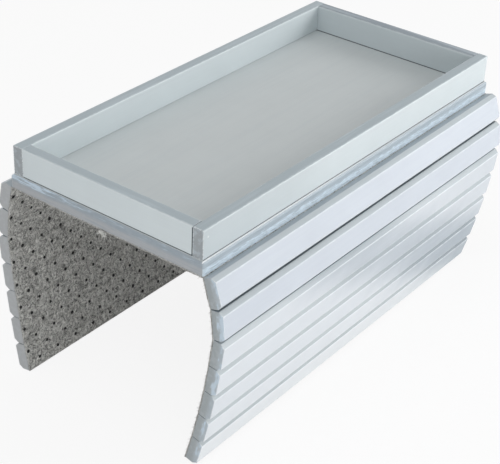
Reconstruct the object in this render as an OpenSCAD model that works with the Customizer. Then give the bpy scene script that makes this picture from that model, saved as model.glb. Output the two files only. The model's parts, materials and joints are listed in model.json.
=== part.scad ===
// Sofa arm tray: a railed tray on a board, with two slatted wings held by a felt sheet.
// X runs across the arm, Y along it, Z up. The origin is the middle of the felt under the board.

/* [Tray] */
// Width across the outside of the rails
tray_w = 190; // [150:1:260]
// Length along the outside of the rails
tray_l = 402; // [300:1:500]
// Height of the rails above the board
rail_h = 25; // [15:1:50]
// Thickness of the rails
rail_t = 10; // [6:1:16]
// Radius of the rails' eased top edges
rail_ease = 1; // [0.4:0.1:2]

/* [Board] */
// How far the board shows beyond the rails on every side
board_lip = 2; // [1:0.5:6]
// Thickness of the board
board_t = 12; // [8:1:18]
// Radius of the board's rounded edges
board_round = 2.5; // [1:0.1:3]

/* [Slats] */
// Distance from one fold line to the next
slat_pitch = 25.4; // [20:0.2:40]
// Gap between two slats when the wing lies flat
slat_gap = 0.4; // [0.2:0.1:1]
// Thickness of a slat
slat_t = 11; // [6:0.5:14]
// Width of the chamfer, measured on the slat's outer face
chamfer_w = 3; // [1:0.5:5]
// Depth of the chamfer, measured on the slat's side
chamfer_d = 4; // [1:0.5:5]

/* [Felt] */
// Thickness of the felt
felt_t = 1.2; // [0.8:0.1:3]
// Largest bend of the fold beside the board
board_bend = 100; // [90:5:110]
// Largest bend of the folds between slats
slat_bend = 25; // [20:1:30]

/* [Hanging wings] */
// Lean of the first slat outward from plumb, left and right wing
lean_first = [12, 18]; // [0:1:25]
// Lean of the second slat
lean_second = [6, 7]; // [0:1:12]
// Lean of the third slat, which turns back inward
lean_third = [-5, -7]; // [-10:1:0]
// How much more each lower slat leans inward than the one above
lean_step = [1.3, 1.9]; // [0:0.1:4]

/* [Brads] */
// Diameter of a brad's shank
brad_d = 1.2; // [1:0.1:1.6]
// Diameter of a brad's head
brad_head_d = 2.2; // [1.8:0.1:3]
// Length of the brads in the corners
corner_brad_l = 30; // [25:1:40]
// Length of the brads through the board
board_brad_l = 28; // [20:1:30]

/* [Hidden] */
$fn = 48;
slats = 7;
sides = ["left", "right"];
slat_w = slat_pitch - slat_gap;

board_w = tray_w + 2 * board_lip;
board_l = tray_l + 2 * board_lip;
board_z = felt_t;
rail_z = board_z + board_t;

// the wing's first fold line lies just outside the board's lower edge
fold_x = board_w / 2 + slat_gap / 2;
fold_z = felt_t;
felt_gap = 0.1;

brad_head_t = 0.7;
brad_clear = 0.02;
corner_brad_inset = 7;
board_brad_rows = [-170, -60, 60, 170];

// lean of slat i, where s is 0 for the left wing and 1 for the right
function lean(s, i) =
    i == 1 ? lean_first[s] :
    i == 2 ? lean_second[s] :
    lean_third[s] - (i - 3) * lean_step[s];

// fold line above slat i, as [x, z] on the right-hand side
function fold(s, i) =
    i == 1 ? [fold_x, fold_z] :
    fold(s, i - 1) + slat_pitch * [sin(lean(s, i - 1)), -cos(lean(s, i - 1))];

// profile of a bar with both top edges rounded
module eased_profile(w, h, r) {
    union() {
        translate([-w / 2, 0]) square([w, h - r]);
        translate([r - w / 2, 0]) square([w - 2 * r, h]);
        for (x = [r - w / 2, w / 2 - r]) translate([x, h - r]) circle(r = r);
    }
}

// a bar along Y that stands on z = 0
module bar(w, l, h, r) {
    translate([0, l / 2, 0]) rotate([90, 0, 0]) linear_extrude(l) eased_profile(w, h, r);
}

// what a quarter-round cutter takes off one edge, along Y, with the edge at the origin
module round_over(l, r) {
    translate([0, l / 2, 0]) rotate([90, 0, 0]) linear_extrude(l) difference() {
        translate([-r, -r]) square(r + 1);
        translate([-r, -r]) circle(r = r);
    }
}

// a brad with its head's top on z = 0 and its shank pointing down
module brad(l, clear = 0) {
    translate([0, 0, -brad_head_t - clear]) cylinder(d = brad_head_d + 2 * clear, h = brad_head_t + clear);
    translate([0, 0, -l - clear]) cylinder(d = brad_d + 2 * clear, h = l - brad_head_t + clear);
}

// two brads at each corner, from the long rails into the ends of the short ones
module corner_brad_set(clear = 0) {
    for (sx = [-1, 1], sy = [-1, 1], z = [corner_brad_inset, rail_h - corner_brad_inset])
        translate([sx * tray_w / 2, sy * (tray_l - rail_t) / 2, rail_z + z])
            rotate([0, sx * 90, 0]) brad(corner_brad_l, clear);
}

// brads from the board's underside up into the rails
module board_brad_set(clear = 0) {
    long_run = [for (sx = [-1, 1], y = board_brad_rows) [sx * (tray_w - rail_t) / 2, y]];
    short_run = [for (sy = [-1, 1]) [0, sy * (tray_l - rail_t) / 2]];
    for (p = concat(long_run, short_run))
        translate([p[0], p[1], board_z]) rotate([180, 0, 0]) brad(board_brad_l, clear);
}

module base_board() {
    color([0.72, 0.75, 0.79]) difference() {
        translate([-board_w / 2, -board_l / 2, board_z]) cube([board_w, board_l, board_t]);
        for (turn = [0, 180]) rotate(turn) translate([board_w / 2, 0, rail_z])
            round_over(board_l + 2, board_round);
        for (turn = [0, 180]) rotate(turn) translate([0, board_l / 2, rail_z])
            rotate(90) round_over(board_w + 2, board_round);
        board_brad_set(brad_clear);
    }
}

// side is -1 for the left rail and 1 for the right
module long_rail(side) {
    color([0.80, 0.83, 0.85]) difference() {
        translate([side * (tray_w - rail_t) / 2, 0, rail_z]) bar(rail_t, tray_l, rail_h, rail_ease);
        corner_brad_set(brad_clear);
        board_brad_set(brad_clear);
    }
}

// side is -1 for the front rail and 1 for the rear
module short_rail(side) {
    color([0.76, 0.79, 0.81]) difference() {
        translate([0, side * (tray_l - rail_t) / 2, rail_z])
            rotate(90) bar(rail_t, tray_w - 2 * rail_t, rail_h, rail_ease);
        corner_brad_set(brad_clear);
        board_brad_set(brad_clear);
    }
}

// draws a profile in wing i's own plane: u runs down the slat from its fold, n points out of the wing
module on_wing(s, i) {
    mirror([s == 0 ? 1 : 0, 0, 0])
        translate([fold(s, i)[0], board_l / 2, fold(s, i)[1]])
            rotate([90, 0, 0]) rotate(lean(s, i) - 90) linear_extrude(board_l) children();
}

// chamfered on both outer edges, so that a V groove shows between two slats
module slat(s, i) {
    near = slat_gap / 2;
    far = near + slat_w;
    color([0.87, 0.89, 0.92]) on_wing(s, i) polygon([
        [near, 0],
        [far, 0],
        [far, slat_t - chamfer_d],
        [far - chamfer_w, slat_t],
        [near + chamfer_w, slat_t],
        [near, slat_t - chamfer_d]
    ]);
}

// the felt behind one slat, cut back at both ends so that the folds can close
module felt_strip(s, i) {
    mitre_near = felt_t * tan((i == 1 ? board_bend : slat_bend) / 2);
    mitre_far = i == slats ? 0 : felt_t * tan(slat_bend / 2);
    near = felt_gap;
    far = slat_pitch - felt_gap;
    color([0.42, 0.43, 0.42]) on_wing(s, i) polygon([
        [near, 0],
        [near + mitre_near, -felt_t],
        [far - mitre_far, -felt_t],
        [far, 0]
    ]);
}

module centre_felt() {
    top_x = fold_x - felt_gap;
    low_x = top_x - felt_t * tan(board_bend / 2);
    color([0.42, 0.43, 0.42]) translate([0, board_l / 2, 0]) rotate([90, 0, 0]) linear_extrude(board_l)
        polygon([[-low_x, 0], [low_x, 0], [top_x, felt_t], [-top_x, felt_t]]);
}

module corner_brads() {
    color([0.60, 0.61, 0.62]) corner_brad_set();
}

module board_brads() {
    color([0.60, 0.61, 0.62]) board_brad_set();
}

base_board();
long_rail(-1);  // left_rail
long_rail(1);  // right_rail
short_rail(-1);  // front_rail
short_rail(1);  // rear_rail
for (s = [0, 1], i = [1 : slats]) {
    slat(s, i);
    felt_strip(s, i);
}
centre_felt();
corner_brads();
board_brads();
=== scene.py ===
import json
import math
import random
import bmesh
import bpy
from mathutils import Matrix, Vector, noise


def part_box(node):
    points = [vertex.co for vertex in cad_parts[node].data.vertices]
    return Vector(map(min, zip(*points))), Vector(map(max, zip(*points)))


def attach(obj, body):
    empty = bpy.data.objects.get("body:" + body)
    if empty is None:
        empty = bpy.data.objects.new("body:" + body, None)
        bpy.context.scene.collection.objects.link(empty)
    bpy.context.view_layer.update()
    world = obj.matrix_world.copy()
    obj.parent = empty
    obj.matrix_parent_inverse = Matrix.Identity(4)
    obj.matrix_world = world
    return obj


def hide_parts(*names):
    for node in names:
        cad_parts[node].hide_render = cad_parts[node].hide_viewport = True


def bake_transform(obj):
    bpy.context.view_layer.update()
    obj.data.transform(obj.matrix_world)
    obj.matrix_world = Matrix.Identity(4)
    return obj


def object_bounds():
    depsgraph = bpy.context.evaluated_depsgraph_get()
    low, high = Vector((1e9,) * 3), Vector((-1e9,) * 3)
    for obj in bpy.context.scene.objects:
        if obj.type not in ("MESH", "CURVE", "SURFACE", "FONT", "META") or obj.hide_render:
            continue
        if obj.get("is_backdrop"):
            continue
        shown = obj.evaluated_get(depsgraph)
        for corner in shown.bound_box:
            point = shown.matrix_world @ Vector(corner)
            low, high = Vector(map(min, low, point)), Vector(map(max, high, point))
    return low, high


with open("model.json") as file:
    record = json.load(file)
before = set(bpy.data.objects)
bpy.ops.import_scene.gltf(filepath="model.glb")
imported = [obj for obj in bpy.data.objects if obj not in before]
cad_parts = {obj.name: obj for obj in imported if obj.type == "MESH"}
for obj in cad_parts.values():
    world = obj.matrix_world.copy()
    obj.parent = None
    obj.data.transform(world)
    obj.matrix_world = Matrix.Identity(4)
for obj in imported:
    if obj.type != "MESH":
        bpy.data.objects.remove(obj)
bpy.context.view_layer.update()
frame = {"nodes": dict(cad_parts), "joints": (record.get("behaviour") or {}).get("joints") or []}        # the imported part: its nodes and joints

mm = 0.001
joints = {joint["name"]: joint for joint in frame["joints"]}
wingSides = {"left": -1, "right": 1}
slatCount = sum(name.startswith("left_fold_") for name in joints)
foldReach = joints["right_fold_1"]["pos_m"][0]     # from the middle to the first fold line
slatPitch = (Vector(joints["right_fold_2"]["pos_m"]) - Vector(joints["right_fold_1"]["pos_m"])).length
half = slatPitch / 2     # the felt's pieces meet halfway down each slat
boardLow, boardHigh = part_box("base_board")
feltThickness = boardLow.z
railLow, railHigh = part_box("right_rail")
railWidth = railHigh.x - railLow.x
railHeight = railHigh.z - railLow.z


# the fold line above a slat, the way down the slat, and the way out of it
def slatAxes(wing, number):
    side = wingSides[wing]
    lean = 90
    for i in range(1, number + 1):
        low, high = joints[f"{wing}_fold_{i}"]["range_deg"]
        lean -= -low if side > 0 else high
    lean = math.radians(lean)
    down = Vector((side * math.sin(lean), 0, -math.cos(lean)))
    out = Vector((side * math.cos(lean), 0, math.sin(lean)))
    return Vector(joints[f"{wing}_fold_{number}"]["pos_m"]), down, out


# an 8-bit sRGB colour as the linear one that a shader takes
def srgb(red, green, blue):
    def linear(value):
        share = value / 255
        return share / 12.92 if share <= 0.04045 else ((share + 0.055) / 1.055) ** 2.4
    return (linear(red), linear(green), linear(blue), 1)


# the camera, at the photograph's angle
cameraSetup = {
    "place": (0.6036, -0.8378, 0.5393),  # metres, in the part's frame
    "azimuth": 36.35,  # degrees, as the next two
    "elevation": 31.55,
    "roll": 2.78,
    "lens": 98.6,  # millimetres, as the sensor
    "sensor": 36,
    "clip": (0.05, 50),  # metres
}


def makeCamera(setup):
    azimuth, elevation, roll = (math.radians(setup[k]) for k in ("azimuth", "elevation", "roll"))
    back = Vector((math.sin(azimuth) * math.cos(elevation), -math.cos(azimuth) * math.cos(elevation),
                   math.sin(elevation)))
    level = Vector((0, 0, 1)).cross(back).normalized()
    upright = back.cross(level)
    right = math.cos(roll) * level + math.sin(roll) * upright
    up = math.cos(roll) * upright - math.sin(roll) * level
    data = bpy.data.cameras.new("camera")
    data.lens = setup["lens"]
    data.sensor_width = setup["sensor"]
    data.clip_start, data.clip_end = setup["clip"]
    camera = bpy.data.objects.new("camera", data)
    turn = Matrix((right, up, back)).transposed().to_4x4()
    camera.matrix_world = Matrix.Translation(setup["place"]) @ turn
    bpy.context.scene.collection.objects.link(camera)
    bpy.context.scene.camera = camera


makeCamera(cameraSetup)
print("camera in place")


# tools that add a shader's nodes and give back their outputs
def addNode(tree, kind, sockets=None, **settings):
    node = tree.nodes.new(kind)
    for key, value in settings.items():
        setattr(node, key, value)
    for socket, value in (sockets or {}).items():
        if isinstance(value, bpy.types.NodeSocket):
            tree.links.new(value, node.inputs[socket])
        else:
            node.inputs[socket].default_value = value
    return node


# the tools below add their node to the tree of the sockets they are given
def follow(kind, sockets, **settings):
    tree = next(value.id_data for value in sockets.values() if isinstance(value, bpy.types.NodeSocket))
    return addNode(tree, kind, sockets, **settings).outputs


def calculate(operation, first, second=0.0, clamp=False):
    return follow("ShaderNodeMath", {0: first, 1: second}, operation=operation, use_clamp=clamp)[0]


def add(first, second, clamp=False):
    return calculate("ADD", first, second, clamp)


def subtract(first, second, clamp=False):
    return calculate("SUBTRACT", first, second, clamp)


def multiply(first, second):
    return calculate("MULTIPLY", first, second)


def inverse(mask):
    return subtract(1.0, mask)


# noise lies around a half; this makes it swing around nothing
def centred(field):
    return subtract(field, 0.5)


def smoothStep(value, low, high):
    sockets = {"Value": value, "From Min": low, "From Max": high}
    return follow("ShaderNodeMapRange", sockets, interpolation_type="SMOOTHSTEP")["Result"]


def mixColours(factor, first, second, blend="MIX"):
    sockets = {0: factor, 6: first, 7: second}
    return follow("ShaderNodeMix", sockets, data_type="RGBA", blend_type=blend)[2]


def stretch(place, scale):
    return follow("ShaderNodeVectorMath", {0: place, 1: scale}, operation="MULTIPLY")[0]


def splitVector(vector):
    return follow("ShaderNodeSeparateXYZ", {0: vector})


def noiseField(place, scale=1, detail=2, roughness=0.5):
    sockets = {"Vector": place, "Scale": scale, "Detail": detail, "Roughness": roughness}
    return follow("ShaderNodeTexNoise", sockets)[0]


def readAttribute(tree, name, output="Fac"):
    return addNode(tree, "ShaderNodeAttribute", attribute_name=name).outputs[output]


def readPlace(tree, name):
    return addNode(tree, "ShaderNodeTexCoord").outputs[name]


def bumpFrom(height, strength, distance):
    sockets = {"Height": height, "Strength": strength, "Distance": distance}
    return follow("ShaderNodeBump", sockets)["Normal"]


def makeGroup(name, inputs, outputs):
    group = bpy.data.node_groups.new(name, "ShaderNodeTree")
    for title, kind, value in inputs:
        socket = group.interface.new_socket(name=title, in_out="INPUT", socket_type=f"NodeSocket{kind}")
        socket.default_value = value
    for title, kind in outputs:
        group.interface.new_socket(name=title, in_out="OUTPUT", socket_type=f"NodeSocket{kind}")
    return group, group.nodes.new("NodeGroupInput").outputs, group.nodes.new("NodeGroupOutput").inputs


def useGroup(group, sockets):
    return follow("ShaderNodeGroup", sockets, node_tree=group)


def newMaterial(name, **shaderValues):
    material = bpy.data.materials.new(name)
    material.use_nodes = True
    tree = material.node_tree
    shader = tree.nodes["Principled BSDF"]
    for socket, value in shaderValues.items():
        shader.inputs[socket.replace("_", " ")].default_value = value
    return material, tree, shader.inputs


def wireShader(tree, shader, **outputs):
    for socket, output in outputs.items():
        tree.links.new(output, shader[socket.replace("_", " ")])


# what the paints share; places are in metres of (across, along, depth), and a step is
# the value where a mask starts and the one where it is full
paintEffects = {
    "bristles": (1500, 24, 1500),  # noise cells in a metre, as strokes, clouds and chips
    "strokes": (260, 9, 260),
    "clouds": 28,
    "streakStep": (0.46, 0.66),
    "bristleShade": 0.05,
    "strokeRoughness": 0.16,
    "bumpDepth": 0.0002,  # metres
    "chips": (900, 160, 900),
    "chipStep": (0.75, 1.05),
    "edgeStep": (0.3, 0.95),
    "dabBristles": (1.5, 1.5, 5),  # cells in one of the dab pattern's own
    "dabRagged": 0.3,
    "dabOutside": 0.5,  # how far the pattern sinks outside its zone
    "dabSpread": 0.3,
    "dabStep": (0.55, 0.74),
    "dryStep": (0.8, 1.0),
}


def makeBrushedPaint(effects):
    tree, given, made = makeGroup("brushed paint", [
        ("Place", "Vector", (0, 0, 0)), ("Colour", "Color", (0.6, 0.6, 0.6, 1)),
        ("Streak Colour", "Color", (0.7, 0.7, 0.7, 1)), ("Streaks", "Float", 0.5), ("Clouds", "Float", 0.05),
    ], [("Colour", "Color"), ("Roughness", "Float"), ("Height", "Float")])
    bristles = noiseField(stretch(given["Place"], effects["bristles"]), detail=3)
    strokes = noiseField(stretch(given["Place"], effects["strokes"]), detail=3)
    clouds = noiseField(given["Place"], effects["clouds"], detail=3, roughness=0.55)
    streaked = multiply(smoothStep(strokes, *effects["streakStep"]), given["Streaks"])
    colour = mixColours(streaked, given["Colour"], given["Streak Colour"])
    shade = multiply(centred(clouds), given["Clouds"])
    fine = multiply(centred(bristles), effects["bristleShade"])
    brightness = add(add(shade, fine), 1.0)
    tree.links.new(stretch(colour, brightness), made["Colour"])
    tree.links.new(multiply(strokes, effects["strokeRoughness"]), made["Roughness"])
    tree.links.new(add(bristles, strokes), made["Height"])
    return tree


# lighter edges: worn paint, partly a painted highlight where the edges catch the light
def makeWornHighlightEdges(effects):
    tree, given, made = makeGroup("worn edges", [
        ("Place", "Vector", (0, 0, 0)), ("Edge", "Float", 0.0), ("Amount", "Float", 0.5),
    ], [("Mask", "Float")])
    chips = noiseField(stretch(given["Place"], effects["chips"]), detail=4, roughness=0.6)
    reach = add(chips, multiply(given["Edge"], given["Amount"]))
    edge = smoothStep(given["Edge"], *effects["edgeStep"])
    tree.links.new(multiply(smoothStep(reach, *effects["chipStep"]), edge), made["Mask"])
    return tree


# crisp strokes of a second paint: Zone says where they may lie, Amount how much of it they cover
def makeBrushDabs(effects):
    tree, given, made = makeGroup("brush dabs", [
        ("Place", "Vector", (0, 0, 0)), ("Zone", "Float", 0.0), ("Amount", "Float", 0.5),
    ], [("Mask", "Float"), ("Dry", "Float")])
    strokes = noiseField(given["Place"], detail=4, roughness=0.62)
    bristles = noiseField(stretch(given["Place"], effects["dabBristles"]), detail=3, roughness=0.6)
    ragged = multiply(centred(bristles), effects["dabRagged"])
    outside = multiply(subtract(given["Zone"], 1.0), effects["dabOutside"])
    covered = add(add(strokes, ragged), outside)
    over = add(covered, multiply(given["Amount"], effects["dabSpread"]))
    tree.links.new(smoothStep(over, *effects["dabStep"]), made["Mask"])
    tree.links.new(smoothStep(over, *effects["dryStep"]), made["Dry"])
    return tree


def wirePaint(tree, shader, colour, paint, look):
    wireShader(tree, shader, Base_Color=colour, Roughness=add(paint["Roughness"], look["roughness"]),
               Normal=bumpFrom(paint["Height"], look["bump"], paintEffects["bumpDepth"]))


# paints over a colour where the brush dabs lie
def dabOver(colour, look, name, place, zone, amount):
    dabs = useGroup(brushDabs, {"Place": place, "Zone": zone, "Amount": amount})
    return mixColours(multiply(dabs["Mask"], look[f"{name}Strength"]), colour, look[name])


def brushOn(place, ground, look, streaks):
    return useGroup(brushedPaint, {"Place": place, "Colour": ground, "Streak Colour": look["streak"],
                                   "Streaks": streaks, "Clouds": look["clouds"]})


def wornHighlightMask(tree, place, look):
    edge = readAttribute(tree, "edge")
    return useGroup(wornHighlightEdges, {"Place": place, "Edge": edge, "Amount": look["wearHighlight"]})["Mask"]


paintValues = {"Specular_IOR_Level": 0.4, "Coat_Weight": 0.06}
brushedPaint = makeBrushedPaint(paintEffects)
wornHighlightEdges = makeWornHighlightEdges(paintEffects)
brushDabs = makeBrushDabs(paintEffects)


railPaintLook = {
    "side": srgb(208, 217, 220),
    # painted shade: the tops are darker than the sides, and the rear rail's top darker still
    "top": srgb(167, 179, 185),
    "rearTop": srgb(134, 145, 154),
    "topStep": (0.55, 0.9),  # of how far a face looks up
    "end": srgb(152, 158, 162),
    "endStep": (0.3, 0.8),
    "paintedShade": (0.82, 0.83, 0.84, 1),  # what painted shade multiplies the colour by
    "streak": srgb(188, 199, 206),
    "streaks": 0.45,
    "clouds": 0.08,
    "dab": srgb(174, 186, 197),  # strokes on the ends
    "dabScale": (200, 90, 90),
    "dabAmount": 0.12,
    "dabStrength": 0.6,
    # worn edges, partly a painted highlight
    "wornHighlight": srgb(226, 232, 234),
    "wearHighlight": 0.42,
    "sideWearHighlight": 0.3,
    "endWearHighlight": 0.55,  # added towards the ends
    "endWearHighlightStep": (0.0, 0.3),
    "coveredStep": (0.0, 0.2),  # no worn edge or painted highlight where a short rail meets a long one
    # a dark joint line at the rails' foot and butt joints, partly painted shade in the crevice
    "seam": srgb(66, 76, 82),
    "seamStep": (0.001, 0.0006),  # metres from the board or the joint
    "seamEndStep": (0.6, 0.3),
    "jointTop": (0.6, 1.6),  # millimetres below the top, where a joint's line fades
    "roughness": 0.33,
    "bump": 0.25,
}


def makeRailPaint(look):
    material, tree, shader = newMaterial("rail paint", **paintValues)
    place = readAttribute(tree, "grain", "Vector")
    spot = splitVector(readAttribute(tree, "shape", "Vector"))
    end = readAttribute(tree, "end")
    isButted = readAttribute(tree, "butted")
    onTop = smoothStep(splitVector(readPlace(tree, "Normal"))["Z"], *look["topStep"])
    onEnd = multiply(smoothStep(end, *look["endStep"]), inverse(onTop))
    # painted shade: faces that look up take the darker top colours
    top = mixColours(readAttribute(tree, "darkTop"), look["top"], look["rearTop"])
    # painted shade darkens the right rail's sides towards the front, and the rear rail's evenly
    side = mixColours(readAttribute(tree, "paintedShade"), look["side"], look["paintedShade"], "MULTIPLY")
    ground = mixColours(onEnd, mixColours(onTop, side, top), look["end"])
    thick = add(onTop, onEnd, clamp=True)
    paint = brushOn(place, ground, look, multiply(thick, look["streaks"]))
    dabPlace = stretch(place, look["dabScale"])
    colour = dabOver(paint["Colour"], look, "dab", dabPlace, onEnd, look["dabAmount"])
    wearHighlight = multiply(smoothStep(end, *look["endWearHighlightStep"]), look["endWearHighlight"])
    covered = multiply(isButted, smoothStep(end, *look["coveredStep"]))
    wearHighlight = multiply(add(wearHighlight, look["sideWearHighlight"]), inverse(covered))
    # worn edges, partly a painted highlight
    colour = mixColours(multiply(wornHighlightMask(tree, place, look), wearHighlight), colour, look["wornHighlight"])
    # the dark joint line, partly painted shade in the crevice
    toJoint = subtract(railLow.x, spot["Y"])
    joint = multiply(isButted, smoothStep(toJoint, *look["seamStep"]))
    fadeLevels = [railHeight - down * mm for down in look["jointTop"]]
    joint = multiply(joint, smoothStep(spot["Z"], *fadeLevels))
    foot = multiply(smoothStep(spot["Z"], *look["seamStep"]), readAttribute(tree, "seam"))
    foot = multiply(foot, smoothStep(end, *look["seamEndStep"]))
    colour = mixColours(calculate("MAXIMUM", joint, foot), colour, look["seam"])
    wirePaint(tree, shader, colour, paint, look)
    return material


boardPaintLook = {
    "floor": srgb(198, 204, 205),
    "shortUpper": srgb(151, 161, 169),  # the edges under the short rails
    "shortLower": srgb(168, 171, 174),
    "longUpper": srgb(170, 182, 191),  # the edges beside the wings
    # painted light: the lower long edges are lighter, lifting the shade beside slat 1
    "longLower": srgb(200, 214, 224),
    "sideStep": (0.995, 0.8),  # of how far a face looks up
    "longStep": (0.2, 0.5),  # of how far it looks to a wing
    "upperStep": (0.0045, 0.0085),  # metres above the board's underside
    "streak": srgb(184, 192, 198),
    "streaks": 0.12,
    "clouds": 0.08,
    "dark": srgb(142, 155, 166),  # strokes on all edges
    "darkShift": (0.4, 0.7, 0.2),
    "darkScale": (42, 42, 900),
    "darkAmount": 0.3,
    "darkStrength": 0.5,
    "light": srgb(202, 219, 233),  # strokes on the short edges, more of them to the left
    "lightStep": (0.01, -0.09),  # metres across
    "lightScale": (60, 60, 620),
    "lightAmount": 0.6,
    "lightStrength": 0.75,
    "wisp": srgb(222, 238, 250),  # slanted strokes on the long edges
    "wispAlong": 125.0,
    "wispUp": 780.0,
    "wispSlant": 74.0,
    "wispBare": 0.45,  # how bare of them the upper half is
    "wispAmount": 0.45,
    "wispStrength": 0.7,
    "bead": srgb(238, 242, 244),  # bright paint beside the long rails
    "beadInner": (0.0, 0.0001),  # metres from the rail, as the next
    "beadOuter": (0.00117, 0.0009),
    "beadStep": (0.4, 0.7),  # of how far a face looks up
    "beadFade": (0.05, -0.1),  # metres along, stronger towards the front
    "beadLeast": 0.4,
    "roughness": 0.36,
    "bump": 0.2,
}


def makeBoardPaint(look):
    material, tree, shader = newMaterial("board paint", **paintValues)
    place = readAttribute(tree, "grain", "Vector")
    spot = splitVector(readAttribute(tree, "shape", "Vector"))
    facing = splitVector(readPlace(tree, "Normal"))
    onSide = smoothStep(facing["Z"], *look["sideStep"])
    onLong = smoothStep(calculate("ABSOLUTE", facing["X"]), *look["longStep"])
    upper = smoothStep(spot["Z"], *look["upperStep"])
    shortEdge = mixColours(upper, look["shortLower"], look["shortUpper"])
    # painted light: the lower long edges are lighter, lifting the shade beside slat 1
    longEdge = mixColours(upper, look["longLower"], look["longUpper"])
    ground = mixColours(onSide, look["floor"], mixColours(onLong, shortEdge, longEdge))
    paint = brushOn(place, ground, look, look["streaks"])
    shifted = follow("ShaderNodeVectorMath", {0: place, 1: look["darkShift"]}, operation="ADD")[0]
    darkPlace, lightPlace = stretch(shifted, look["darkScale"]), stretch(place, look["lightScale"])
    colour = dabOver(paint["Colour"], look, "dark", darkPlace, onSide, look["darkAmount"])
    shortZone = multiply(upper, subtract(onSide, onLong, clamp=True))
    toLeft = multiply(smoothStep(spot["X"], *look["lightStep"]), look["lightAmount"])
    colour = dabOver(colour, look, "light", lightPlace, shortZone, toLeft)
    slant = add(multiply(spot["Z"], look["wispUp"]), multiply(spot["Y"], look["wispSlant"]))
    slanted = follow("ShaderNodeCombineXYZ", {
        "X": spot["X"], "Y": multiply(spot["Y"], look["wispAlong"]), "Z": slant})[0]
    longZone = multiply(onLong, inverse(multiply(upper, look["wispBare"])))
    colour = dabOver(colour, look, "wisp", slanted, longZone, look["wispAmount"])
    fromRail = subtract(calculate("ABSOLUTE", spot["X"]), railHigh.x)
    bead = multiply(smoothStep(fromRail, *look["beadInner"]),
                    smoothStep(fromRail, *look["beadOuter"]))
    bead = multiply(bead, smoothStep(facing["Z"], *look["beadStep"]))
    fade = multiply(smoothStep(spot["Y"], *look["beadFade"]), 1 - look["beadLeast"])
    bead = multiply(bead, add(fade, look["beadLeast"]))
    wirePaint(tree, shader, mixColours(bead, colour, look["bead"]), paint, look)
    return material


slatPaintLook = {
    "face": srgb(204, 211, 220),
    "lowFace": srgb(226, 230, 233),
    "faceStep": (0.5, 0.95),
    "paintedShade": (0.52, 0.57, 0.61, 1),  # what painted shade multiplies the colour by
    # painted shade: chamfers darker than the faces, more on some slats, as light falls on them
    "chamfer": srgb(166, 174, 178),
    "paleChamfer": srgb(208, 216, 220),
    # the gaps between slats: darker unpainted sides, partly painted shade
    "gap": srgb(94, 106, 116),
    "gapStep": (0.0074, 0.0064),  # metres above the glued face, as all depths here
    "end": srgb(156, 163, 166),
    "outerEnd": srgb(170, 180, 187),
    "leftEnd": srgb(171, 174, 176),
    "endStep": (0.3, 0.8),
    "outerDepths": (0.004, 0.0095),
    "streak": srgb(220, 226, 232),
    "streaks": 0.1,
    "clouds": 0.06,
    # worn edges, partly a painted highlight
    "wornHighlight": srgb(236, 241, 244),
    "wearHighlight": 0.5,
    "wearHighlightStrength": 0.5,
    "wearHighlightDepths": (0.008, 0.0095),
    "dab": srgb(196, 212, 225),  # strokes on the ends
    "bright": srgb(230, 238, 244),  # and the thick middle of some
    "dabScale": (75, 300, 190),
    "dabDepths": (0.0005, 0.008),
    "dabStrength": 0.85,
    "roughness": 0.34,
    "bump": 0.25,
}


def makeSlatPaint(look):
    material, tree, shader = newMaterial("slat paint", **paintValues)
    place = readAttribute(tree, "grain", "Vector")
    depth = splitVector(readAttribute(tree, "shape", "Vector"))["Z"]
    onFace = smoothStep(readAttribute(tree, "face"), *look["faceStep"])
    onEnd = smoothStep(readAttribute(tree, "end"), *look["endStep"])
    face = mixColours(readAttribute(tree, "tone"), look["face"], look["lowFace"])
    # painted shade on the chamfers, set slat by slat
    chamfer = mixColours(readAttribute(tree, "bevel"), look["chamfer"], look["paleChamfer"])
    ground = mixColours(onFace, chamfer, face)
    # painted shade: a darker slanting band across the lower slats of the right wing
    ground = mixColours(readAttribute(tree, "paintedShade"), ground, look["paintedShade"], "MULTIPLY")
    # painted shade inside the gaps, partly unpainted sides
    inGapShade = multiply(smoothStep(depth, *look["gapStep"]), readAttribute(tree, "gap"))
    ground = mixColours(inGapShade, ground, look["gap"])
    end = mixColours(smoothStep(depth, *look["outerDepths"]), look["end"], look["outerEnd"])
    end = mixColours(readAttribute(tree, "leftWing"), end, look["leftEnd"])
    ground = mixColours(onEnd, ground, end)
    paint = brushOn(place, ground, look, look["streaks"])
    # worn edges, partly a painted highlight
    wearHighlight = multiply(wornHighlightMask(tree, place, look), smoothStep(depth, *look["wearHighlightDepths"]))
    colour = mixColours(multiply(wearHighlight, look["wearHighlightStrength"]), paint["Colour"], look["wornHighlight"])
    dabs = useGroup(brushDabs, {
        "Place": stretch(place, look["dabScale"]), "Zone": smoothStep(depth, *look["dabDepths"]),
        "Amount": readAttribute(tree, "dabs")})
    dabbed = multiply(multiply(dabs["Mask"], onEnd), look["dabStrength"])
    colour = mixColours(dabbed, colour, look["dab"])
    colour = mixColours(multiply(dabs["Dry"], onEnd), colour, look["bright"])
    wirePaint(tree, shader, colour, paint, look)
    return material


# mottled needle felt; its scales are noise cells in a metre
feltLook = {
    "dark": srgb(84, 84, 82),
    "light": srgb(238, 238, 234),
    "middle": 0.52,  # where its grey lies between dark and light
    "tufts": 170,
    "grain": 400,
    "grainContrast": 3.7,
    "swirl": 130,
    "swirlReach": 0.01,  # metres
    "hair": srgb(240, 240, 236),
    "hairScale": (560, 190, 300),
    "shade": srgb(52, 52, 50),
    "shadeScale": (190, 560, 300),
    "threadWidth": 0.045,
    "threadStrength": 0.75,
    "bump": 0.6,
    "bumpDepth": 0.001,  # metres
}


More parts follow.
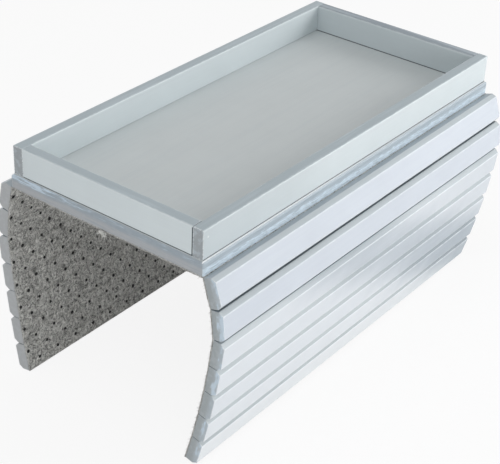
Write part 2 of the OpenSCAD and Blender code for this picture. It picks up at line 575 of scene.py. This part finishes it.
def makeFelt(look):
    material, tree, shader = newMaterial("heather felt", Roughness=0.95, Specular_IOR_Level=0.1,
                                         Sheen_Weight=0.2, Sheen_Roughness=0.6)
    place = readAttribute(tree, "grain", "Vector")
    swirl = follow("ShaderNodeTexNoise", {"Vector": place, "Scale": look["swirl"], "Detail": 2})["Color"]
    bent = follow("ShaderNodeVectorMath", {0: swirl, 1: [look["swirlReach"]] * 3, 2: place},
                  operation="MULTIPLY_ADD")[0]
    tufts = centred(noiseField(place, look["tufts"], detail=3, roughness=0.6))
    grain = centred(noiseField(bent, look["grain"], detail=4, roughness=0.75))
    tone = add(multiply(grain, look["grainContrast"]), tufts)
    colour = mixColours(add(tone, look["middle"], clamp=True), look["dark"], look["light"])

    def threads(scale):
        distance = calculate("ABSOLUTE", centred(noiseField(stretch(bent, scale))))
        return multiply(smoothStep(distance, look["threadWidth"], 0.0), look["threadStrength"])
    hairs = threads(look["hairScale"])
    colour = mixColours(threads(look["shadeScale"]), colour, look["shade"])
    colour = mixColours(hairs, colour, look["hair"])
    height = add(add(grain, tufts), hairs)
    wireShader(tree, shader, Base_Color=colour, Normal=bumpFrom(height, look["bump"], look["bumpDepth"]))
    return material


# grip dots, filler and steel: specks of a second colour, and a grain that roughens
rubberLook = {
    "colour": srgb(22, 22, 23),
    "specks": srgb(58, 58, 57),
    "speckScale": 900,
    "speckRoughness": 0.6,
    "speckStep": (0.45, 0.8),
    "roughness": (0.3, 0.45),  # the grain's share, and what is added to it
}
fillerLook = {
    "colour": srgb(206, 213, 216),
    "specks": srgb(236, 240, 242),
    "speckScale": 1600,
    "speckRoughness": 0.6,
    "speckStep": (0.4, 0.65),
    "roughness": (1.0, 0.1),
    "bump": (0.4, 0.0002),  # strength, and metres
}
steelLook = {
    "colour": srgb(168, 170, 172),
    "specks": srgb(120, 121, 122),
    "speckScale": 700,
    "speckRoughness": 0.5,
    "speckStep": (0.4, 0.7),
    "drawnScale": (4000, 4000, 300),
    "roughness": (0.3, 0.15),
    "bump": (0.2, 0.00005),
}


def makeSpeckled(name, look, **shaderValues):
    material, tree, shader = newMaterial(name, **shaderValues)
    place = readPlace(tree, "Object")
    specks = noiseField(place, look["speckScale"], detail=3, roughness=look["speckRoughness"])
    grain = noiseField(stretch(place, look["drawnScale"]), detail=3) if "drawnScale" in look else specks
    share, least = look["roughness"]
    colour = mixColours(smoothStep(specks, *look["speckStep"]), look["colour"], look["specks"])
    wireShader(tree, shader, Base_Color=colour, Roughness=add(multiply(grain, share), least))
    if "bump" in look:
        wireShader(tree, shader, Normal=bumpFrom(grain, *look["bump"]))
    return material


railPaint = makeRailPaint(railPaintLook)
boardPaint = makeBoardPaint(boardPaintLook)
slatPaint = makeSlatPaint(slatPaintLook)
heatherFelt = makeFelt(feltLook)
whiteLint = newMaterial("white lint", Base_Color=srgb(238, 238, 235), Roughness=0.9)[0]
gripRubber = makeSpeckled("grip rubber", rubberLook, Specular_IOR_Level=0.35)
nailFiller = makeSpeckled("nail filler", fillerLook, Specular_IOR_Level=0.3)
bradSteel = makeSpeckled("brad steel", steelLook, Metallic=1.0)
print("materials made")


# how bars are swept; lengths are in millimetres here and in the shapes below
barMesh = {
    "leastRadius": 0.03,
    "supportShare": 0.45,  # of a side's length, at most
    "cornerSteps": 3,
    "humpSize": 60,  # of the unevenness in a bar
    "seedShift": (0.31, 0.17, 0.23),  # metres between the patterns of two bars
    "humpSeed": 1,
}
noise.seed_set(barMesh["humpSeed"])     # without it the humps would differ on every run


def insetCorners(corners, inset):
    moved = []
    for i, here in enumerate(corners):
        before = (here - corners[i - 1]).normalized()
        after = (corners[(i + 1) % len(corners)] - here).normalized()
        inwardBefore, inwardAfter = Vector((-before.y, before.x)), Vector((-after.y, after.x))
        share = inset / (1 + inwardBefore.dot(inwardAfter))
        moved.append(here + (inwardBefore + inwardAfter) * share)
    return moved


# a convex outline with rounded corners; the edge mask is 1 on them and 0 at a support point on each side
def roundedOutline(corners, radii, inset, support):
    moved = insetCorners(corners, inset)
    steps = barMesh["cornerSteps"]
    points = []
    for i, here in enumerate(moved):
        toBefore = moved[i - 1] - here
        toAfter = moved[(i + 1) % len(moved)] - here
        turn = math.pi - toBefore.angle(toAfter)
        radius = max(radii[i] - inset, barMesh["leastRadius"] * mm)
        reach = radius * math.tan(turn / 2)
        middle = (toBefore.normalized() + toAfter.normalized()).normalized()
        centre = here + middle * (radius / math.cos(turn / 2))
        start = here + toBefore.normalized() * reach - centre
        toSupport = [side.normalized() * min(support + reach, barMesh["supportShare"] * side.length)
                     for side in (toBefore, toAfter)]
        points.append((here + toSupport[0], 0.0))
        for k in range(steps + 1):
            spin = Matrix.Rotation(turn * k / steps, 2)
            points.append((centre + spin @ start, 1.0))
        points.append((here + toSupport[1], 0.0))
    return points


# (distance along, inset, edge mask, end mask) from one eased end to the other
def easedStations(start, end, startEase, endEase, support, stride, steps=3):
    def easedEnd(ease):
        found = [(0.0, ease + support, 0.0, 1.0)]
        for k in range(steps + 1):
            turn = math.radians(90) * k / steps
            found.append((ease * (1 - math.cos(turn)), ease * (1 - math.sin(turn)), 1.0, 1 - k / steps))
        found.append((ease + support, 0.0, None, 0.0))
        return found
    length = end - start
    innerCount = int(length / stride)
    stations = [(start + along, inset, edge, cap) for along, inset, edge, cap in easedEnd(startEase)]
    stations += [(start + length * k / innerCount, 0.0, None, 0.0) for k in range(1, innerCount)]
    stations += [(end - along, inset, edge, cap) for along, inset, edge, cap in reversed(easedEnd(endEase))]
    return stations


def linkMesh(name, points, faces):
    mesh = bpy.data.meshes.new(name)
    mesh.from_pydata([tuple(p) for p in points], [], faces)
    shell = bmesh.new()
    shell.from_mesh(mesh)
    bmesh.ops.recalc_face_normals(shell, faces=shell.faces)
    shell.to_mesh(mesh)
    shell.free()
    mesh.polygons.foreach_set("use_smooth", [True] * len(mesh.polygons))
    piece = bpy.data.objects.new(name, mesh)
    bpy.context.scene.collection.objects.link(piece)
    return piece


def storeVectors(piece, name, vectors):
    attribute = piece.data.attributes.new(name, "FLOAT_VECTOR", "POINT")
    attribute.data.foreach_set("vector", [c for v in vectors for c in v])


def storeValues(piece, name, values):
    piece.data.attributes.new(name, "FLOAT", "POINT").data.foreach_set("value", values)


def storeValue(piece, name, value):
    storeValues(piece, name, [value] * len(piece.data.vertices))


# how far across, along and deep in its bar each point lies, as three lists
def readShape(piece):
    places = [0.0] * (3 * len(piece.data.vertices))
    piece.data.attributes["shape"].data.foreach_get("vector", places)
    return places[0::3], places[1::3], places[2::3]


# sweeps an outline through stations; lay(across, depth, along) gives a point and its place in the material
def sweepBar(name, corners, radii, stations, lay, seed, support, unevenness=0.0):
    points, shapes, grains, edges, ends = [], [], [], [], []
    seedShift = Vector(barMesh["seedShift"]) * seed
    for along, inset, edge, cap in stations:
        for point, mask in roundedOutline(corners, radii, inset, support):
            spot, shape = lay(point.x, point.y, along)
            grain = shape + seedShift
            points.append(spot + noise.noise_vector(grain / (barMesh["humpSize"] * mm)) * unevenness)
            shapes.append(shape)
            grains.append(grain)
            edges.append(mask if edge is None else edge)
            ends.append(cap)
    ring = len(points) // len(stations)
    faces = [tuple(range(ring)), tuple(range(len(points) - ring, len(points)))]
    for first in range(0, len(points) - ring, ring):
        for k in range(ring):
            after = (k + 1) % ring
            faces.append((first + k, first + after, first + ring + after, first + ring + k))
    piece = linkMesh(name, points, faces)
    storeVectors(piece, "shape", shapes)
    storeVectors(piece, "grain", grains)
    storeValues(piece, "edge", edges)
    storeValues(piece, "end", ends)
    return piece


def finishPiece(piece, material, body, nodes=()):
    piece.data.materials.append(material)
    if body:
        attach(piece, body)
    if nodes:
        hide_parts(*nodes)


boardShape = {
    "topRound": 2.5,
    "bottomEase": 0.4,
    "cornerRadius": 1.2,
    "support": 1.5,
    "seed": 1,
}


def makeBoard(shape):
    corners = [Vector((boardLow.x, boardLow.y)), Vector((boardHigh.x, boardLow.y)),
               Vector((boardHigh.x, boardHigh.y)), Vector((boardLow.x, boardHigh.y))]
    radii = [shape["cornerRadius"] * mm] * len(corners)
    support = shape["support"] * mm
    stations = easedStations(boardLow.z, boardHigh.z, shape["bottomEase"] * mm, shape["topRound"] * mm,
                             support, boardHigh.z - boardLow.z, steps=5)

    def lay(across, depth, along):
        return Vector((across, depth, along)), Vector((across, depth, along - boardLow.z))
    board = sweepBar("board", corners, radii, stations, lay, shape["seed"], support)
    finishPiece(board, boardPaint, "tray", ["base_board"])


makeBoard(boardShape)
print("board made")


railShape = {
    "topEase": 1.0,
    "bottomEase": 0.3,
    "endEase": 0.4,
    "buttedEase": 0.15,  # on the short rails' ends, which butt against the long rails
    "support": 1.5,
    "stride": 20,
    "unevenness": 0.08,
    "seeds": {"left_rail": 2, "right_rail": 3, "front_rail": 4, "rear_rail": 5},
    # how dark the painted seam shade is along each rail's inner foot
    "innerSeam": {"left_rail": 0.15, "right_rail": 0.4, "front_rail": 0.4, "rear_rail": 1.0},
    "paintedShadeFrom": -50,  # painted shade: the right rail's sides darken from here towards the front
    "paintedShadeOver": 150,
    "paintedShadePower": 0.6,
    "rearPaintedShade": 0.5,
}


def makeRail(node, seed, shape):
    low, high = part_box(node)
    size = high - low
    isLong = size.y > size.x
    width, length = (size.x, size.y) if isLong else (size.y, size.x)
    middle = (low + high) / 2
    corners = [Vector((-width / 2, 0)), Vector((width / 2, 0)),
               Vector((width / 2, size.z)), Vector((-width / 2, size.z))]
    bottom, top, support = (shape[k] * mm for k in ("bottomEase", "topEase", "support"))
    endEase = shape["endEase" if isLong else "buttedEase"] * mm
    stations = easedStations(-length / 2, length / 2, endEase, endEase, support, shape["stride"] * mm)

    def lay(across, depth, along):
        spot = Vector((across, along, depth)) if isLong else Vector((along, across, depth))
        return Vector((middle.x, middle.y, low.z)) + spot, Vector((across, along, depth))
    rail = sweepBar(node.replace("_rail", "_rail_painted"), corners, [bottom, bottom, top, top], stations,
                    lay, seed, support, shape["unevenness"] * mm)
    outward = 1 if middle.x + middle.y > 0 else -1
    across, along, _ = readShape(rail)
    storeValues(rail, "seam", [1.0 if x * outward > 0 else shape["innerSeam"][node] for x in across])
    storeValue(rail, "butted", 0.0 if isLong else 1.0)
    storeValue(rail, "darkTop", 1.0 if node == "rear_rail" else 0.0)
    # painted shade along the right rail, and an even half of it on the rear rail
    if node == "right_rail":
        shares = [(shape["paintedShadeFrom"] - y / mm) / shape["paintedShadeOver"] for y in along]
        storeValues(rail, "paintedShade", [min(1.0, max(0.0, share)) ** shape["paintedShadePower"] for share in shares])
    else:
        storeValue(rail, "paintedShade", shape["rearPaintedShade"] if node == "rear_rail" else 0.0)
    finishPiece(rail, railPaint, "tray", [node])


for node, seed in railShape["seeds"].items():
    makeRail(node, seed, railShape)
print("rails made")


# the slats; the lists run from slat 1, beside the board, to slat 7
slatShape = {
    "outerEase": 0.5,
    "innerEase": 0.3,
    "endEase": 0.35,
    "support": 1.2,
    "stride": 20,
    "unevenness": 0.12,
    "faceDepth": 0.6,  # how far below the outer face its colour starts
    "seeds": {"left": 10, "right": 20},
    "tone": (0.0, 0.0, 0.55, 0.55, 0.55, 0.7, 1.0),  # 1 for the paler paint of the lower slats
    "bevel": (0.5, 0.6, 0.6, 0.3, 0.2, 0.15, 0.0),  # 1 for the palest chamfers, with the least painted shade
    "gapShade": (0.35, 0.75, 0.45, 0.3, 0.3, 0.3, 0.5, 0.0),  # above slats 1 to 7 and below the last
    "dabs": {
        "left": (-0.2, -0.3, -0.1, -0.3, -0.1, -0.2, 0.0),
        "right": (0.3, 0.8, 0.2, 0.75, 0.25, 0.3, 0.35),
    },
    "paintedShade": (0.0, 0.0, 0.63, 0.64, 0.7, 1.0, 1.0),  # a slanting band of painted shade, a darker reflection, on the right wing
    "paintedShadeMiddle": -146,  # along the wing, level with its first fold line
    "paintedShadeSlope": 2.2,
    "paintedShadeReach": 75,
    "farPaintedShade": 0.25,  # added towards the rear
    "farFrom": 20,
    "farOver": 170,
}


# the corners of a bar's cross-section, read from its solid, anticlockwise in (across, depth)
def crossSection(node, origin, acrossWay, depthWay):
    found = {(round((v.co - origin).dot(acrossWay), 5), round((v.co - origin).dot(depthWay), 5))
             for v in frame["nodes"][node].data.vertices}
    middle = Vector((sum(a for a, _ in found), sum(d for _, d in found))) / len(found)
    return sorted((Vector(c) for c in found), key=lambda c: math.atan2(c.y - middle.y, c.x - middle.x))


# how much painted shade a slat has at a distance u down its wing
def paintedShadeAt(wing, number, u, y, shape):
    most = shape["paintedShade"][number - 1]
    if wing == "left" or most == 0:
        return 0.0
    off = y / mm - shape["paintedShadeMiddle"] - shape["paintedShadeSlope"] * u / mm
    far = min(1.0, max(0.0, (y / mm - shape["farFrom"]) / shape["farOver"])) * shape["farPaintedShade"]
    return min(1.0, most * math.exp(-(off / shape["paintedShadeReach"]) ** 4) + far)


def makeSlat(wing, number, shape):
    node = f"{wing}_slat_{number}"
    origin, down, out = slatAxes(wing, number)
    origin = Vector((origin.x, 0, origin.z))
    corners = crossSection(node, origin, down, out)
    thickness = max(c.y for c in corners)
    radii = [(shape["outerEase"] if c.y > thickness / 4 else shape["innerEase"]) * mm for c in corners]
    low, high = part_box(node)
    endEase, support = shape["endEase"] * mm, shape["support"] * mm
    stations = easedStations(low.y, high.y, endEase, endEase, support, shape["stride"] * mm)

    def lay(across, depth, along):
        spot = origin + down * across + out * depth
        spot.y = along
        return spot, Vector((across, along, depth))
    slat = sweepBar(f"{wing}_slat_{number}_painted", corners, radii, stations, lay,
                    shape["seeds"][wing] + number, support, shape["unevenness"] * mm)
    across, along, depth = readShape(slat)
    above = (number - 1) * slatPitch
    faceLevel = thickness - shape["faceDepth"] * mm
    storeValues(slat, "face", [1.0 if d > faceLevel else 0.0 for d in depth])
    storeValues(slat, "gap", [shape["gapShade"][number - 1 if a < half else number] for a in across])
    storeValues(slat, "paintedShade", [paintedShadeAt(wing, number, above + a, y, shape) for a, y in zip(across, along)])
    storeValue(slat, "tone", shape["tone"][number - 1])
    storeValue(slat, "bevel", shape["bevel"][number - 1])
    storeValue(slat, "leftWing", 1.0 if wing == "left" else 0.0)
    storeValue(slat, "dabs", shape["dabs"][wing][number - 1])
    finishPiece(slat, slatPaint, node, [node])


for wing in wingSides:
    for number in range(1, slatCount + 1):
        makeSlat(wing, number, slatShape)
print("slats made")


# the felt, one sheet in pieces that meet halfway down each slat
sheetShape = {
    "crease": 2.0,  # on each side of a fold line
    "rowGap": 3.2,
    "columnGap": 3.4,
    "rim": 0.5,  # width of the thinner strip at each end
    "rimThickness": 0.78,  # as a share of the felt's
    "inner": 2.0,  # from the ends to the even columns
    "relief": 0.22,
    "reliefSize": 5,
    "ragged": 0.8,
    "raggedSize": 2.5,
    "layerShift": 10,  # between the patterns of the felt's two sides
    "tipGap": 0.1,
}


# the glued face at a distance u below the wing's first fold line, and the way from there through the felt
def sheetAt(wing, u):
    tiny = 1e-6
    number = math.floor(u / slatPitch + tiny) + 1
    boardWay = Vector((0, 0, -1))
    if number < 1:
        return Vector((wingSides[wing] * (foldReach + u), 0, feltThickness)), boardWay
    number = min(number, slatCount)
    origin, down, out = slatAxes(wing, number)
    onSlat = u - (number - 1) * slatPitch
    if onSlat > tiny:
        return origin + down * onSlat, -out
    above = boardWay if number == 1 else -slatAxes(wing, number - 1)[2]
    through = (above - out).normalized()
    return origin, through / through.dot(-out)


def spread(start, end, gap):
    count = max(1, round((end - start) / gap))
    return [start + (end - start) * k / count for k in range(count + 1)]


def makeSheetPiece(name, wing, uStart, uEnd, shape):
    folds = [number * slatPitch for number in range(slatCount) if uStart < number * slatPitch < uEnd]
    crease, gap, rim, even = (shape[k] * mm for k in ("crease", "rowGap", "rim", "inner"))
    if folds:
        rows = spread(uStart, folds[0] - crease, gap) + [folds[0]] + spread(folds[0] + crease, uEnd, gap)
    else:
        rows = spread(uStart, uEnd, gap)
    inner = spread(boardLow.y + even, boardHigh.y - even, shape["columnGap"] * mm)
    columns = [boardLow.y, boardLow.y + rim] + inner + [boardHigh.y - rim, boardHigh.y]
    points, grains = [], []
    for layer in (0, 1):
        for u in rows:
            glue, through = sheetAt(wing, u)
            s = wingSides[wing] * (foldReach + u)
            for c, y in enumerate(columns):
                atEdge = c in (0, len(columns) - 1)
                grain = Vector((s, y, shape["layerShift"] * mm * layer))
                depth = 0.0
                if layer:
                    relief = noise.noise(grain / (shape["reliefSize"] * mm)) * shape["relief"] * mm
                    depth = feltThickness * shape["rimThickness"] if atEdge else feltThickness + relief
                if atEdge:
                    y += noise.noise(grain / (shape["raggedSize"] * mm)) * shape["ragged"] * mm
                spot = glue + through * depth
                spot.y = y
                points.append(spot)
                grains.append(grain)
    wide, layerSize = len(columns), len(rows) * len(columns)
    faces = []
    for r in range(len(rows) - 1):
        for c in range(wide - 1):
            a = r * wide + c
            faces.append((a, a + 1, a + wide + 1, a + wide))
            faces.append(tuple(layerSize + k for k in (a + wide, a + wide + 1, a + 1, a)))
        for a in (r * wide, r * wide + wide - 1):
            faces.append((a, a + wide, layerSize + a + wide, layerSize + a))
    for c in range(wide - 1):
        for a in (c, (len(rows) - 1) * wide + c):
            faces.append((a, a + 1, layerSize + a + 1, layerSize + a))
    piece = linkMesh(name, points, faces)
    storeVectors(piece, "grain", grains)
    return piece


def bendAt(piece, wing, number):
    crease = sheetShape["crease"] * mm
    fold = (number - 1) * slatPitch
    foldPoint, down, _ = slatAxes(wing, number)
    foldPoint = Vector((foldPoint.x, 0, foldPoint.z))
    above = sheetAt(wing, fold - crease)[0] - foldPoint
    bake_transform(piece)


def makeFeltSheet(shape):
    middle = makeSheetPiece("felt_middle", "right", half - 2 * foldReach, -half, shape)
    finishPiece(middle, heatherFelt, "tray", ["centre_felt"])
    for wing in wingSides:
        for number in range(1, slatCount + 1):
            fold = (number - 1) * slatPitch
            piece = makeSheetPiece(f"felt_{wing}_{number}", wing, fold - half, fold + half, shape)
            finishPiece(piece, heatherFelt, None, [f"{wing}_felt_{number}"])
            bendAt(piece, wing, number)
        end = slatCount * slatPitch
        tip = makeSheetPiece(f"felt_{wing}_tip", wing, end - half, end - shape["tipGap"] * mm, shape)
        finishPiece(tip, heatherFelt, f"{wing}_slat_{slatCount}")


makeFeltSheet(sheetShape)
print("felt made")


# a hair is bent at a knee: how far along it that is, its share of the bend, and the width left there
hairShape = {
    "knee": 0.55,
    "kneeBend": 0.25,
    "kneeWidth": 0.7,
}


def hairAt(points, faces, root, way, bend, width):
    side = way.cross(bend).normalized() * width / 2
    middle = root + way * hairShape["knee"] + bend * hairShape["kneeBend"]
    kneeSide = side * hairShape["kneeWidth"]
    first = len(points)
    points += [root - side, root + side, middle + kneeSide, middle - kneeSide, root + way + bend]
    faces += [(first, first + 1, first + 2, first + 3), (first + 3, first + 2, first + 4)]


def drawnVector(draw, size=1.0):
    return Vector((draw.uniform(-1, 1), draw.uniform(-1, 1), draw.uniform(-1, 1))) * size


# hairs that stand out of the felt's two ends
fuzzShape = {
    "gap": 0.6,  # between hairs
    "length": (0.7, 2.6),
    "width": 0.3,
    "rootDepth": (0.15, 0.95),  # as a share of the felt's thickness
    "rootInset": 0.5,
    "outward": 0.8,  # as a share of a hair's length, as the next three
    "through": (0, 0.5),
    "stray": 0.35,
    "curl": 0.5,
}


def makeFuzz(name, wing, uStart, uEnd, body, shape):
    draw = random.Random(name)
    points, faces = [], []
    for end, y in ((-1, boardLow.y), (1, boardHigh.y)):
        for u in spread(uStart, uEnd, shape["gap"] * mm):
            glue, through = sheetAt(wing, u)
            root = glue + through * feltThickness * draw.uniform(*shape["rootDepth"])
            root.y = y - end * shape["rootInset"] * mm
            length = draw.uniform(*shape["length"]) * mm
            outward = Vector((0, end, 0)) * shape["outward"]
            way = (outward + through.normalized() * draw.uniform(*shape["through"])) * length
            way = way + drawnVector(draw, shape["stray"] * length)
            bend = drawnVector(draw, shape["curl"] * length)
            hairAt(points, faces, root, way, bend, shape["width"] * mm)
    fuzz = linkMesh(name, points, faces)
    storeVectors(fuzz, "grain", points)
    finishPiece(fuzz, heatherFelt, body)


def makeAllFuzz(shape):
    crease = sheetShape["crease"] * mm
    makeFuzz("felt_fuzz_middle", "right", crease - 2 * foldReach, -crease, "tray", shape)
    for wing in wingSides:
        for number in range(1, slatCount + 1):
            fold = (number - 1) * slatPitch
            makeFuzz(f"felt_fuzz_{wing}_{number}", wing, fold + crease, fold + slatPitch - crease,
                     f"{wing}_slat_{number}", shape)


# a tuft of lint on the felt's front edge; its strands are chains of hairs
lintShape = {
    "centre": (1.0, -203.8, -1.2),
    "strands": 36,
    "across": (-5, 4),  # where a strand starts, from the centre, as the next two
    "along": (-0.5, 0.5),
    "up": (-2, 2),
    "forward": (-1, 0.2),  # the share of its first heading along the tray
    "steps": 7,
    "length": 0.75,
    "stride": 0.5,
    "width": 0.55,
    "bend": 0.2,
    "turn": 0.6,
    "reach": 9,  # how far from the centre a strand turns back
}


def makeLint(shape):
    draw = random.Random("lint")
    points, faces = [], []
    centre = Vector(shape["centre"]) * mm
    length, stride, width, bendSize, reach = (
        shape[k] * mm for k in ("length", "stride", "width", "bend", "reach"))
    for _ in range(shape["strands"]):
        spot = centre + Vector([draw.uniform(*shape[k]) for k in ("across", "along", "up")]) * mm
        heading = Vector([draw.uniform(*span) for span in ((-1, 1), shape["forward"], (-1, 1))])
        heading.normalize()
        for _ in range(shape["steps"]):
            bend = heading.cross(drawnVector(draw))
            hairAt(points, faces, spot, heading * length, bend * bendSize, width)
            spot = spot + heading * stride
            heading = (heading + bend * shape["turn"] + (centre - spot) / reach).normalized()
    finishPiece(linkMesh("lint", points, faces), whiteLint, "tray")


makeAllFuzz(fuzzShape)
makeLint(lintShape)
print("fuzz made")


# the grip dots, in rows along the tray, every second one shifted
dotShape = {
    "radius": 1.55,
    "height": 0.7,
    "sink": 0.15,  # how far a dot reaches into the felt
    "sides": 10,
    "rings": 3,
    "sizes": (0.9, 1.1),
    "rowGap": 10.64,
    "columnGap": 21.8,
    "firstRow": 10.55,  # below the left wing's first fold line
    "firstColumn": -200.7,
    "shiftedColumn": -189.6,
    "scatter": 0.25,
}


def domeAt(points, faces, centre, way, size, shape):
    first, count, rings = len(points), shape["sides"], shape["rings"]
    radius, height = shape["radius"] * mm * size, shape["height"] * mm * size
    along = Vector((0, 1, 0))
    across = way.cross(along).normalized()
    for r in range(rings):
        tilt = math.radians(90) * r / rings
        level = height * math.sin(tilt) - (shape["sink"] * mm if r == 0 else 0)
        for k in range(count):
            turn = 2 * math.pi * k / count
            flat = (across * math.cos(turn) + along * math.sin(turn)) * radius * math.cos(tilt)
            points.append(centre + flat + way * level)
    points.append(centre + way * height)
    faces.append(tuple(first + k for k in reversed(range(count))))
    for k in range(count):
        after = (k + 1) % count
        for r in range(rings - 1):
            low, high = first + r * count, first + (r + 1) * count
            faces.append((low + k, low + after, high + after, high + k))
        last = first + (rings - 1) * count
        faces.append((last + k, last + after, len(points) - 1))


def makeDots(name, wing, uStart, uEnd, shape):
    draw = random.Random(name)
    points, faces = [], []
    firstS = -(foldReach + shape["firstRow"] * mm)
    start, end = sorted(wingSides[wing] * (foldReach + u) for u in (uStart, uEnd))
    row = math.ceil((start - firstS) / (shape["rowGap"] * mm))
    s = firstS + row * shape["rowGap"] * mm
    while s < end:
        glue, through = sheetAt(wing, wingSides[wing] * s - foldReach)
        y = (shape["shiftedColumn"] if row % 2 else shape["firstColumn"]) * mm
        while y < boardHigh.y - shape["radius"] * mm:
            centre = glue + through * feltThickness
            centre.y = y + draw.uniform(-1, 1) * shape["scatter"] * mm
            domeAt(points, faces, centre, through.normalized(), draw.uniform(*shape["sizes"]), shape)
            y += shape["columnGap"] * mm
        row += 1
        s = firstS + row * shape["rowGap"] * mm
    return linkMesh(name, points, faces)


def makeGripDots(shape):
    middle = makeDots("grip_dots_middle", "right", half - 2 * foldReach, -half, shape)
    finishPiece(middle, gripRubber, "tray")
    for wing in wingSides:
        for number in range(1, slatCount + 1):
            fold = (number - 1) * slatPitch
            dots = makeDots(f"grip_dots_{wing}_{number}", wing, fold - half, fold + half, shape)
            finishPiece(dots, gripRubber, None)
            bendAt(dots, wing, number)
        end = slatCount * slatPitch
        dots = makeDots(f"grip_dots_{wing}_tip", wing, end - half, end, shape)
        finishPiece(dots, gripRubber, f"{wing}_slat_{slatCount}")


makeGripDots(dotShape)
print("grip dots made")


# the corner brads' filled heads; the lower head at each corner lies under the paint
fillerShape = {
    "inset": 7.0,  # from a rail's top
    "radius": 1.0,
    "height": 0.12,
    "sink": 0.15,
    "sides": 14,
    "rings": 3,
}


def makeFillers(shape):
    points, faces = [], []
    for side in (-1, 1):
        for end in (-1, 1):
            centre = Vector((side * railHigh.x, end * (railHigh.y - railWidth / 2),
                             railHigh.z - shape["inset"] * mm))
            domeAt(points, faces, centre, Vector((side, 0, 0)), 1, shape)
    fillers = linkMesh("filled_brad_heads", points, faces)
    finishPiece(fillers, nailFiller, "tray", ["corner_brads"])


makeFillers(fillerShape)
boardBrads = frame["nodes"]["board_brads"]
boardBrads.data.materials.clear()
boardBrads.data.materials.append(bradSteel)
print("brads finished")


# the floor, the world and the lamps
studio = {
    "floorSize": 12.0,  # metres
    "floor": (0.86, 0.86, 0.86, 1),
    "floorGlow": 0.88,  # share of plain white in what the camera sees of the floor
    "white": (1, 1, 1, 1),
    "sky": 0.45,
    "lamps": {  # place, size and power
        "side": ((1.2, 1.1, 0.5), 1.0, 15.5),
        "front": ((0.9, -1.2, 0.0), 0.9, 6.4),
        "top": ((-0.2, -0.9, 2.2), 1.8, 12.5),
    },
}


def seenDirectly(tree):
    path = addNode(tree, "ShaderNodeLightPath").outputs
    seen = add(path["Is Camera Ray"], path["Is Glossy Ray"])
    return add(seen, path["Is Transmission Ray"], clamp=True)


def makeFloor(look):
    reach = look["floorSize"] / 2
    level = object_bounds()[0].z
    corners = [(x * reach, y * reach, level) for x, y in ((-1, -1), (1, -1), (1, 1), (-1, 1))]
    floor = linkMesh("floor", corners, [(0, 1, 2, 3)])
    material, tree, _ = newMaterial("floor", Base_Color=look["floor"], Roughness=0.9, Specular_IOR_Level=0.1)
    plain = tree.nodes["Principled BSDF"].outputs[0]
    white = addNode(tree, "ShaderNodeEmission", {"Color": look["white"], "Strength": 1.0}).outputs[0]
    share = multiply(seenDirectly(tree), look["floorGlow"])
    surface = follow("ShaderNodeMixShader", {0: share, 1: plain, 2: white})[0]
    tree.links.new(surface, tree.nodes["Material Output"].inputs["Surface"])
    floor.data.materials.append(material)
    floor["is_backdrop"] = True


def makeWorld(look):
    world = bpy.data.worlds.new("studio")
    bpy.context.scene.world = world
    world.use_nodes = True
    tree = world.node_tree
    backdrop = tree.nodes["Background"]
    backdrop.inputs["Color"].default_value = look["white"]
    lift = multiply(seenDirectly(tree), 1 - look["sky"])
    tree.links.new(add(lift, look["sky"]), backdrop.inputs["Strength"])


def makeLamps(look):
    for name, (place, size, power) in look["lamps"].items():
        data = bpy.data.lights.new(name, "AREA")
        data.shape = "DISK"
        data.size = size
        data.energy = power
        lamp = bpy.data.objects.new(name, data)
        lamp.location = place
        lamp.rotation_euler = Vector(place).to_track_quat("Z", "Y").to_euler()
        bpy.context.scene.collection.objects.link(lamp)


makeFloor(studio)
makeWorld(studio)
makeLamps(studio)
bpy.context.scene.view_settings.view_transform = "Standard"
print("studio lit")
